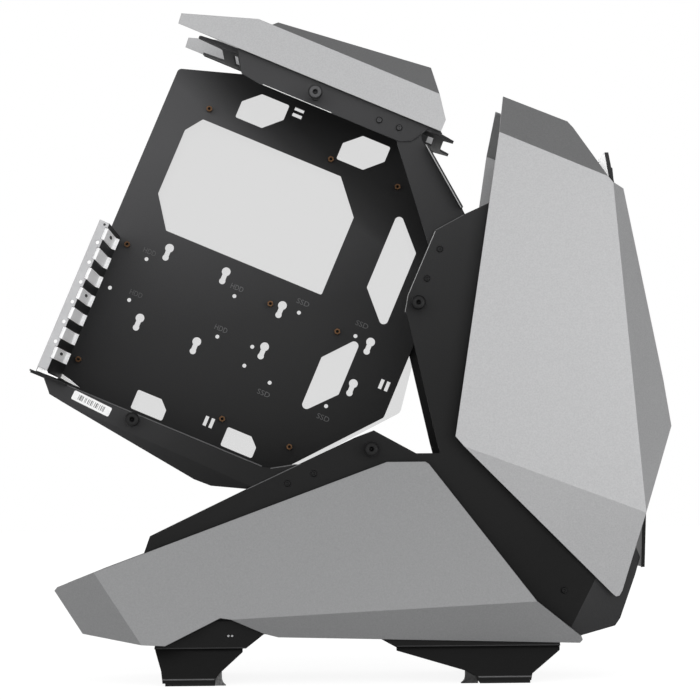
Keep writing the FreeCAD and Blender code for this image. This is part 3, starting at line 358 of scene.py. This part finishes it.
# A stack of closed rings, skinned into one solid: rows of rings, with the first and last ring capped.
def skinned(rings):
    rings = np.asarray(rings, float)
    rows, columns = rings.shape[:2]
    faces = gridFaces(rows, columns).tolist()
    faces.append(np.arange(columns)[::-1].tolist())
    faces.append((np.arange(columns) + (rows - 1) * columns).tolist())
    return rings.reshape(-1, 3), faces


# A flat plate: one outline moved through a step, as two rings. The outline is reversed where it runs against the step.
def plateOf(outline, step):
    outline, step = np.asarray(outline, float), np.asarray(step, float)
    area = np.cross(outline, np.roll(outline, -1, 0)).sum(0)
    ring = outline if area @ step > 0.0 else outline[::-1]
    return skinned([ring, ring + step])


def addPlate(name, outline, step, material, slot):
    addPiece(name, *plateOf(outline, step), material, slot, smooth=False)


# Several solids in one mesh: the faces of each count on from the points before it.
def joined(solids):
    starts = np.cumsum([0] + [len(points) for points, _ in solids])
    faces = [[index + start for index in face] for start, (_, some) in zip(starts, solids) for face in some]
    return np.concatenate([points for points, _ in solids]), faces


def circle(columns):
    return np.linspace(0.0, 2.0 * math.pi, columns, endpoint=False)


def sided(word, name):
    return word + name[0].upper() + name[1:]


# A turned head: a profile of radius against height, carried round a circle about the Y axis.
# The radius of a knurled row falls by the groove depth between ridges; a hexagon row keeps its flats at the radius.
def turned(spots, profile, columns, outward, grooves=0, depth=0.0, knurlRows=(), hexRows=()):
    turn = circle(columns)
    sector = (turn + math.pi / 6.0) % (math.pi / 3.0) - math.pi / 6.0
    radius, height = np.array(profile).T
    reach = np.repeat(radius[:, None], columns, 1)
    reach[list(knurlRows)] -= depth * (1.0 - np.abs(np.sin(turn * grooves / 2.0)))
    reach[list(hexRows)] /= np.cos(sector)
    away = np.repeat(outward * height[:, None], columns, 1)
    head = np.stack([reach * np.cos(turn), away, reach * np.sin(turn)], -1)
    head = head if outward < 0 else head[:, ::-1]
    return joined([skinned(head + np.array(spot)) for spot in spots])


# Knurled thumbscrews with a bored end; the far side has no third one.
knob = dict(near=[(122.5, 319.0), (289.5, 171.5), (301.5, 26.5), (83.0, -34.0)], nearAt=-70.0,
            far=[(122.5, 319.0), (289.5, 171.5), (83.0, -34.0)], farAt=74.0,
            columns=96, grooves=32, grooveDepth=0.5, knurlRows=[3, 4],
            profile=[(5.2, 0.0), (5.2, 1.5), (6.6, 1.7), (7.0, 2.2), (7.0, 6.4), (6.6, 6.9), (5.9, 7.4), (5.6, 7.9),
                     (2.7, 7.9), (2.2, 7.6), (1.9, 7.0), (1.8, 3.4), (0.05, 3.2)])
for word, outward in (("near", -1), ("far", 1)):
    spots = [trayPoint(u, knob[f"{word}At"], v) for u, v in knob[word]]
    points, faces = turned(spots, knob["profile"], knob["columns"], outward, knob["grooves"], knob["grooveDepth"],
                           knurlRows=knob["knurlRows"])
    piece = addPiece(f"{word}Knobs", points, faces, materials["black_screws"], "black_screws")
    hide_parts(f"{word}_thumbscrews")
print("stage: thumbscrews")

# Button-head screws: a domed head with a hexagon socket, and a pair of small bright ones on the rear foot, which stand
# for two glints on one screw: painted highlights.
button = dict(side=[(84.0, 410.0), (71.5, 382.0), (-37.5, 197.5), (-62.5, 188.5), (198.0, 85.5)], sideAt=62.0,
              top=[(188.0, 321.5), (208.5, 322.0)], topAt=52.0,
              foot=[(-119.0, 46.0), (-115.5, 46.0)], footAt=64.0,
              columns=36, hexRows=[5, 6],
              profile=[(3.2, 0.0), (3.15, 0.5), (2.85, 1.05), (2.3, 1.5), (1.75, 1.75), (1.25, 1.8), (1.15, 1.1),
                       (0.03, 1.0)],
              smallColumns=24, smallProfile=[(1.3, 0.0), (1.28, 0.3), (1.0, 0.7), (0.6, 0.88), (0.03, 0.9)])
for word, side in (("near", -1), ("far", 1)):
    spots = [(x, side * button["sideAt"], z) for x, z in button["side"]]
    spots += [trayPoint(u, side * button["topAt"], v) for u, v in button["top"]]
    points, faces = turned(spots, button["profile"], button["columns"], side, hexRows=button["hexRows"])
    heads = addPiece(f"{word}ButtonHeads", points, faces, materials["black_screws"], "black_screws")
    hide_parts(f"{word}_frame_screws")
    # The rear foot's pair of small bright heads: painted highlights.
    spots = [(x, side * button["footAt"], z) for x, z in button["foot"]]
    points, faces = turned(spots, button["smallProfile"], button["smallColumns"], side)
    addPiece(f"{word}FootScrews", points, faces, drawnMetal(f"{word}ScrewSteel", screwSteel), "bare_steel")
print("stage: button heads")

# Paper label on the floor's near flange: a rounded rectangle with plain printed bars, tilted a little.
label = dict(center=(40.4, -34.9), size=(39.4, 9.2), corner=1.6, columns=32, nudge=0.01,
             tilt=math.radians(-3.6), at=-60.0, thick=0.12,
             bars=[-13.6, -12.4, -11.6, -10.6, -9.4, -7.0, -5.9, -3.6, -2.2,
                   -0.4, 1.0, 3.2, 5.0, 6.4, 8.4, 10.2, 11.8, 12.9],
             widths=[0.5, 0.4, 0.9, 0.5, 0.8, 0.4, 0.5, 0.7, 0.5, 0.9, 0.4, 0.6, 1.2, 0.4, 0.5, 0.8, 0.5, 0.8],
             barLow=-2.4, barHigh=2.6, inkThick=0.03)


# A place on the label: a along it and b across it, turned by its tilt and laid on the flange.
def onLabel(a, b, lift):
    c, s = math.cos(label["tilt"]), math.sin(label["tilt"])
    u = label["center"][0] + a * c - b * s
    v = label["center"][1] + a * s + b * c
    return np.stack(trayPoint(u, np.full(np.shape(u), label["at"] - lift), v), -1)


# A circle of the corner radius, with each quarter moved to its own corner; the nudge decides the points between two.
turn = circle(label["columns"])
insetX, insetY = (extent / 2.0 - label["corner"] for extent in label["size"])
outline = (np.sign(np.cos(turn + label["nudge"])) * insetX + label["corner"] * np.cos(turn),
           np.sign(np.sin(turn + label["nudge"])) * insetY + label["corner"] * np.sin(turn))
points, faces = skinned([onLabel(*outline, 0.0), onLabel(*outline, label["thick"])])
addPiece("paperLabel", points, faces, plainFinish("labelPaper", paper), "silver", smooth=False)
tops = np.array([label["barLow"], label["barLow"], label["barHigh"], label["barHigh"]])
bars = []
for center, wide in zip(label["bars"], label["widths"]):
    across = center + wide * np.array([-0.5, 0.5, 0.5, -0.5])
    bars.append(plateOf(onLabel(across, tops, label["thick"]), (0.0, -label["inkThick"], 0.0)))
points, faces = joined(bars)
addPiece("labelBars", points, faces, plainFinish("labelInk", ink), "black_screws", smooth=False)
print("stage: label")

# Stamped drive marks beside the keyholes: the letters' own outlines, laid on the tray.
marks = dict(words=[("HDD", 23.1, 126.2), ("HDD", 117.8, 126.5), ("HDD", 118.9, 82.4), ("HDD", 27.0, 82.2),
                    ("SSD", 184.6, 138.0), ("SSD", 247.5, 140.3), ("SSD", 183.0, 39.2), ("SSD", 247.2, 39.4)],
             tall=7.4, wide=13.0, at=45.0, thick=0.12, smoothness=3)
allPoints, allFaces, count = [], [], 0
for word, u, v in marks["words"]:
    letters = bpy.data.curves.new("letters", "FONT")
    letters.body = word
    letters.align_x = "CENTER"
    letters.align_y = "CENTER"
    letters.size = marks["tall"]
    letters.extrude = marks["thick"] / 2.0
    letters.resolution_u = marks["smoothness"]
    holder = bpy.data.objects.new("letters", letters)
    flat = bpy.data.meshes.new_from_object(holder)
    flat.calc_loop_triangles()
    places = np.empty(len(flat.vertices) * 3)
    flat.vertices.foreach_get("co", places)
    corners = np.empty(len(flat.loop_triangles) * 3, dtype=np.int32)
    flat.loop_triangles.foreach_get("vertices", corners)
    along, upward, lift = places.reshape(-1, 3).T
    stretch = marks["wide"] / np.ptp(along)
    depth = marks["at"] - marks["thick"] / 2.0 - lift
    allPoints.append(trayPoints(np.stack([u + along * stretch, depth, v + upward], -1)))
    allFaces.append(corners.reshape(-1, 3) + count)
    count += len(along)
    bpy.data.objects.remove(holder)
    bpy.data.curves.remove(letters)
    bpy.data.meshes.remove(flat)
addPiece("driveMarks", np.concatenate(allPoints), np.concatenate(allFaces), plainFinish("stampedMarks", stamped),
         "black_steel", smooth=False)
print("stage: drive marks")

# Dark punched ovals on three slot covers, and a small round one at the top of the clamp bar: flat ellipses.
punch = dict(rows=[0, 3, 6], first=-3.9, pitch=20.32, drop=1.6, u=-8.45, y=-28.0, halfY=11.0, halfV=1.5,
             bar=(-13.3, 126.0), barAt=-69.5, barRadius=1.2, thick=0.05, columns=32)
turn = circle(punch["columns"])
level = np.ones(punch["columns"])
ovals = []
for row in punch["rows"]:
    v = punch["first"] + punch["pitch"] * row + punch["drop"]
    ring = np.stack([punch["u"] * level, punch["y"] + punch["halfY"] * np.cos(turn),
                     v + punch["halfV"] * np.sin(turn)], -1)
    ovals.append(plateOf(trayPoints(ring), trayStep(punch["thick"], 0.0)))
barU, barV = punch["bar"]
ring = np.stack([barU + punch["barRadius"] * np.cos(turn), punch["barAt"] * level,
                 barV + punch["barRadius"] * np.sin(turn)], -1)
ovals.append(plateOf(trayPoints(ring), (0.0, -punch["thick"], 0.0)))
points, faces = joined(ovals)
addPiece("punchedOvals", points, faces, materials["black_screws"], "black_screws", smooth=False)

# Pale sheets that glow in the gap between the tray's foot and the slot frame, and at the foot of the clamp bar:
# painted light.
paintedLightSheets = dict(
    gapSheet=dict(at=45.0, outline=[(-13.0, -20.9), (-10.0, -19.7), (0.0, -21.8), (11.5, -25.6), (-0.6, -25.2),
                                    (-11.3, -23.7)]),
    barFoot=dict(at=-67.0, outline=[(-18.6, -21.9), (-9.5, -22.3), (-8.0, -24.1), (2.9, -24.6), (1.9, -25.6),
                                    (-10.7, -26.0), (-19.0, -26.1)]))
sheetThick = 0.1
sheetFinish = plainFinish("paintedLightSheet", paintedLightSheet)
for name, sheet in paintedLightSheets.items():
    ring = trayPoints([(u, sheet["at"], v) for u, v in sheet["outline"]])
    addPlate(name, ring, (0.0, -sheetThick, 0.0), sheetFinish, "bare_steel")
print("stage: small marks on the slot side")

# Ends of the near feet: a block that flares toward the floor, as square rings from low to high; its flare is painted
# shadow on the floor under the foot.
# The free end leans out by the fifth power of the distance below the top, and the near face leans in with height.
footEnd = dict(rear=dict(still=-131.4, top=-125.4, foot=-121.4, high=13.4),
               front=dict(still=115.0, top=103.4, foot=99.2, high=12.4),
               near=69.8, deep=9.0, leanIn=3.4, floorGap=0.2, flare=5, rows=9)


def footEndRings(shape):
    rise = np.linspace(0.0, 1.0, footEnd["rows"])
    free = shape["top"] + (shape["foot"] - shape["top"]) * (1.0 - rise) ** footEnd["flare"]
    still = np.full(footEnd["rows"], shape["still"])
    height = footEnd["floorGap"] + (shape["high"] - footEnd["floorGap"]) * rise
    front = footEnd["leanIn"] * rise - footEnd["near"]
    back = front + footEnd["deep"]
    rings = np.stack([np.stack([still, free, free, still], -1), np.stack([front, front, back, back], -1),
                      np.repeat(height[:, None], 4, 1)], -1)
    return rings if shape["still"] < shape["top"] else rings[:, ::-1]


for word, name, look in (("rear", "mouldedGrey", mouldedGrey), ("front", "mouldedBlack", mouldedBlack)):
    points, faces = skinned(footEndRings(footEnd[word]))
    addPiece(f"near{word.title()}FootEnd", points, faces, plainFinish(name, look), "pad_rubber", smooth=False)

# Flat plates on both sides: a pale gusset on the side plate beside the panel's prong, the prong's own edge strip,
# the corner where the floor's flange turns up, and black lips that close the forks under the cover.
# The first two lie on their face and grow outward; the others lie in the tray's frame and grow inward.
blackSteel = materials["black_steel"]
trim = dict(
    prongGusset=dict(outline=[(236.5, 495.1), (242.4, 501.1), (246.4, 477.7), (238.9, 483.0)], at=62.0, thick=0.6,
                     onTray=False, finish=plainFinish("paleGusset", paper), slot="silver"),
    prongStrip=dict(outline=[(243.1, 501.9), (246.2, 501.9), (251.4, 472.9), (246.8, 477.2)], at=62.0, thick=0.7,
                    onTray=False, finish=blackSteel, slot="black_steel"),
    floorCorner=dict(outline=[(211.0, -28.6), (220.0, -26.3), (229.0, -21.9), (239.4, -14.6), (262.0, -6.0),
                              (245.0, -32.0)], at=59.9, thick=1.0,
                     onTray=True, finish=ownFinish["tray_floor"], slot="black_steel"),
    forkLip=dict(outline=[(231.0, 329.6), (246.6, 329.6), (249.0, 333.0), (245.0, 335.6), (231.0, 335.6)],
                 at=51.0, thick=1.2, onTray=True, finish=blackSteel, slot="black_steel"),
    armLip=dict(outline=[(-3.0, 332.4), (18.6, 334.4), (40.0, 334.8), (40.0, 329.6), (-3.0, 329.6)],
                at=44.2, thick=1.2, onTray=True, finish=blackSteel, slot="black_steel"))
for word, side in (("near", -1), ("far", 1)):
    for name, plate in trim.items():
        ring = [(a, side * plate["at"], b) for a, b in plate["outline"]]
        ring = trayPoints(ring) if plate["onTray"] else ring
        outward = -side if plate["onTray"] else side
        addPlate(sided(word, name), ring, (0.0, outward * plate["thick"], 0.0), plate["finish"], plate["slot"])
print("stage: feet ends and gussets")

# Painted highlights on edges and folds: a ribbon along a line, with its width and a small lift away from the middle.
# Each is repeated on the far side, except where no face there carries it.
ribbons = dict(
    strutRib=dict(line=[(71.2, -62.5, 510.4), (103.9, -68.8, 448.8)], across=(1.1, 0.0, 0.09), finish="lit"),
    rearFootFold=dict(line=[(-187.5, -64.0, 34.4), (-103.0, -64.0, 34.4)], across=(0.0, 0.0, 0.9), finish="soft"),
    frontFootFold=dict(line=[(39.5, -64.0, 34.4), (193.0, -64.0, 34.4)], across=(0.0, 0.0, 0.9), finish="soft"),
    rearFootLip=dict(line=[(-180.8, -70.0, 5.4), (-132.0, -70.0, 5.4)], across=(0.0, 0.0, 1.3), finish="lip"),
    frontFootLip=dict(line=[(115.5, -70.0, 5.4), (165.6, -70.0, 5.4)], across=(0.0, 0.0, 1.3), finish="lip"),
    floorFold=dict(line=[trayPoint(-8.0, -60.0, -28.3), trayPoint(212.0, -60.0, -28.3)],
                   across=trayStep(0.0, 0.9), finish="fold"),
    topLine=dict(line=[trayPoint(71.5, -52.0, 310.0), trayPoint(143.0, -52.0, 310.0)],
                 across=trayStep(0.0, 0.65), finish="bright", nearOnly=True),
    cornerFold=dict(line=[trayPoint(220.0, -59.9, -26.3), trayPoint(239.4, -59.9, -14.6)],
                    across=trayStep(0.5, -0.8), finish="lip"),
    plateEdge=dict(line=[(79.6, -62.0, 427.6), (53.0, -62.0, 366.5)], across=(0.6, 0.0, -0.26), finish="lit"),
    plateEdgeLow=dict(line=[(53.0, -62.0, 366.5), (50.0, -62.0, 350.0)], across=(0.65, 0.0, -0.12), finish="lit"),
    plateEdgeTop=dict(line=[(80.0, -62.0, 428.5), (107.0, -62.0, 443.0)], across=(0.3, 0.0, -0.56), finish="lip"),
    basePlateEdge=dict(line=[(-101.5, -62.0, 183.5), (-50.0, -62.0, 207.4)], across=(0.35, 0.0, -0.75),
                       finish="lip"))
ribbonLift = 0.08
# The ribbons' finishes: painted highlights, the bright line among them.
finishes = {"lit": plainFinish("bareEdge", litEdge), "soft": plainFinish("softEdge", softEdge),
            "lip": plainFinish("lipEdge", lipEdge), "fold": plainFinish("foldEdge", foldEdge),
            "bright": plainFinish("brightLine", paper)}
for name, ribbon in ribbons.items():
    start, end = np.array(ribbon["line"])
    across = np.array(ribbon["across"])
    for word, mirror in (("near", 1.0), ("far", -1.0)):
        if word == "far" and ribbon.get("nearOnly"):
            continue
        ring = np.array([start, end, end + across, start + across]) * (1.0, mirror, 1.0)
        addPlate(sided(word, name), ring, (0.0, -ribbonLift * mirror, 0.0), finishes[ribbon["finish"]], "black_steel")
print("stage: lit edges")

# Studio: a white floor and backdrop. The room is brightest in front of the case and dim overhead.
# Gloss sees the white backdrop only behind the case and below the zenith, and a share of the floor's white.
studio = dict(floorHalf=6.0, floorGlow=0.90, floorShade=0.22, floorColor=0.65, floorRough=0.9, floorShine=0.2,
              side=0.38, front=0.86, overhead=0.46, overheadFrom=(0.0, 0.35), fill=1.3,
              shineBehind=(0.1, 0.4), shineBelow=(0.7, 0.4))
half = studio["floorHalf"]
floorMesh = bpy.data.meshes.new("floor")
floorMesh.from_pydata([(-half, -half, 0.0), (half, -half, 0.0), (half, half, 0.0), (-half, half, 0.0)], [],
                      [(0, 1, 2, 3)])
floor = bpy.data.objects.new("floor", floorMesh)
bpy.context.scene.collection.objects.link(floor)


def rayKind(wire, kind):
    return wire.node("ShaderNodeLightPath", output=f"Is {kind} Ray")


# What is looked at straight or through the glass.
def lookedAt(wire):
    return rayKind(wire, "Camera").most(rayKind(wire, "Transmission"))


tone, dull = ((studio[key],) * 3 + (1.0,) for key in ("floorColor", "floorShade"))
floorMaterial, place, shader = newMaterial("paleFloor", {"Base Color": tone, "Roughness": studio["floorRough"]})
glow = place.node("ShaderNodeEmission", {"Color": whiteLight, "Strength": studio["floorGlow"]})
shade = place.node("ShaderNodeBsdfDiffuse", {"Color": dull})
bright = place.node("ShaderNodeAddShader", {0: glow, 1: shade})
shown = lookedAt(place).most(rayKind(place, "Glossy") * studio["floorShine"])
mixed = place.node("ShaderNodeMixShader", {0: shown, 1: Wire(place.tree, shader.outputs[0]), 2: bright})
place.tree.links.new(mixed.socket, place.tree.nodes["Material Output"].inputs[0])
floorMesh.materials.append(floorMaterial)

world = bpy.data.worlds.new("studio")
bpy.context.scene.world = world
world.use_nodes = True
sky = Wire(world.node_tree)
direction = sky.node("ShaderNodeTexCoord", output="Generated")
away, up = direction.part(1), direction.part(2)
room = studio["side"] + studio["front"] * away.span(0.0, -1.0)
room = room * (1.0 - studio["overhead"] * up.span(*studio["overheadFrom"]))
shine = rayKind(sky, "Glossy") * away.span(*studio["shineBehind"]) * up.span(*studio["shineBelow"])
seen = lookedAt(sky).most(shine)
lit = room * (1.0 + studio["fill"] * rayKind(sky, "Diffuse"))
dim = sky.node("ShaderNodeBackground", {"Color": whiteLight, "Strength": lit})
plainWhite = sky.node("ShaderNodeBackground", {"Color": whiteLight, "Strength": 1.0})
both = sky.node("ShaderNodeMixShader", {0: seen, 1: dim, 2: plainWhite})
world.node_tree.links.new(both.socket, world.node_tree.nodes["World Output"].inputs[0])

# A soft box low at the right, turned to the tower.
sideBox = dict(place=(1.55, -2.0, 0.2), aim=(0.2, 0.0, 0.2), size=(0.6, 0.5), power=4.0)
lamp = bpy.data.lights.new("sideBox", "AREA")
lamp.shape = "RECTANGLE"
lamp.size, lamp.size_y = sideBox["size"]
lamp.energy = sideBox["power"]
box = bpy.data.objects.new("sideBox", lamp)
bpy.context.scene.collection.objects.link(box)
box.location = sideBox["place"]
aimX, aimY, aimZ = np.subtract(sideBox["aim"], sideBox["place"])
pitch = math.acos(-aimZ / math.hypot(aimX, aimY, aimZ))
box.rotation_euler = (pitch, 0.0, math.atan2(aimY, aimX) - math.pi / 2.0)

# Camera fitted to the photo's vanishing point.
view = dict(place=(-0.0365, -2.075, 0.1915), turn=(93.493, 0.478, -0.942), lens=109.29, sensor=36.0)
lens = bpy.data.cameras.new("camera")
lens.lens = view["lens"]
lens.sensor_width = view["sensor"]
camera = bpy.data.objects.new("camera", lens)
bpy.context.scene.collection.objects.link(camera)
camera.location = view["place"]
camera.rotation_euler = [math.radians(angle) for angle in view["turn"]]
bpy.context.scene.camera = camera
bpy.context.scene.view_settings.view_transform = "Standard"
print("stage: studio")
